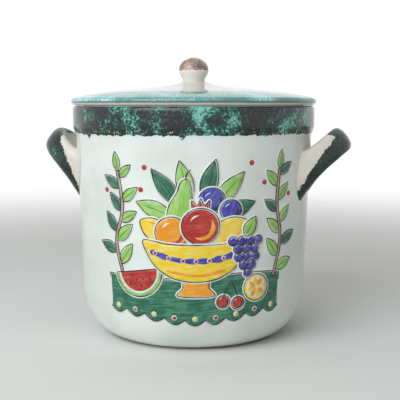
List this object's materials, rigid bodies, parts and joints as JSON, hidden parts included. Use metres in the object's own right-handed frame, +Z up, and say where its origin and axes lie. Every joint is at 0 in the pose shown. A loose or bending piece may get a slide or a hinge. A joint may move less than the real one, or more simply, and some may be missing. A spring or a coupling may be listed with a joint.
{
  "type": "lidded storage pot",
  "caption": "Round earthenware pot with a thick collar, upswept strap handles and a low domed lid with a ball knob.",
  "frame": {"origin": "middle of the foot, on the surface that the pot stands on", "axes": "+Z up along the pot's axis, +X towards one handle and -X towards the other, -Y towards the painted front"},
  "size_m": [0.3122, 0.2432, 0.2737],
  "materials": {
    "white_glaze": "glossy white tin glaze with a painted picture and a dark green collar",
    "green_glaze": "glossy dark green sponged glaze over cream",
    "turquoise_glaze": "glossy speckled turquoise glaze round a cream middle",
    "bare_rim": "thin cream glaze over pale clay",
    "brown_glaze": "white glaze with a sponged pink-brown cap"
  },
  "bodies": {
    "pot": {"vessel": "white_glaze", "handle_left": "green_glaze", "handle_right": "green_glaze"},
    "lid": {"lid": "turquoise_glaze", "lid_flange": "bare_rim", "lid_knob": "brown_glaze"}
  },
  "joints": [
    {"name": "lid_lift", "type": "slide", "parent": "pot", "child": "lid", "axis": [0, 0, 1], "range_m": [0, 0.12]}
  ]
}
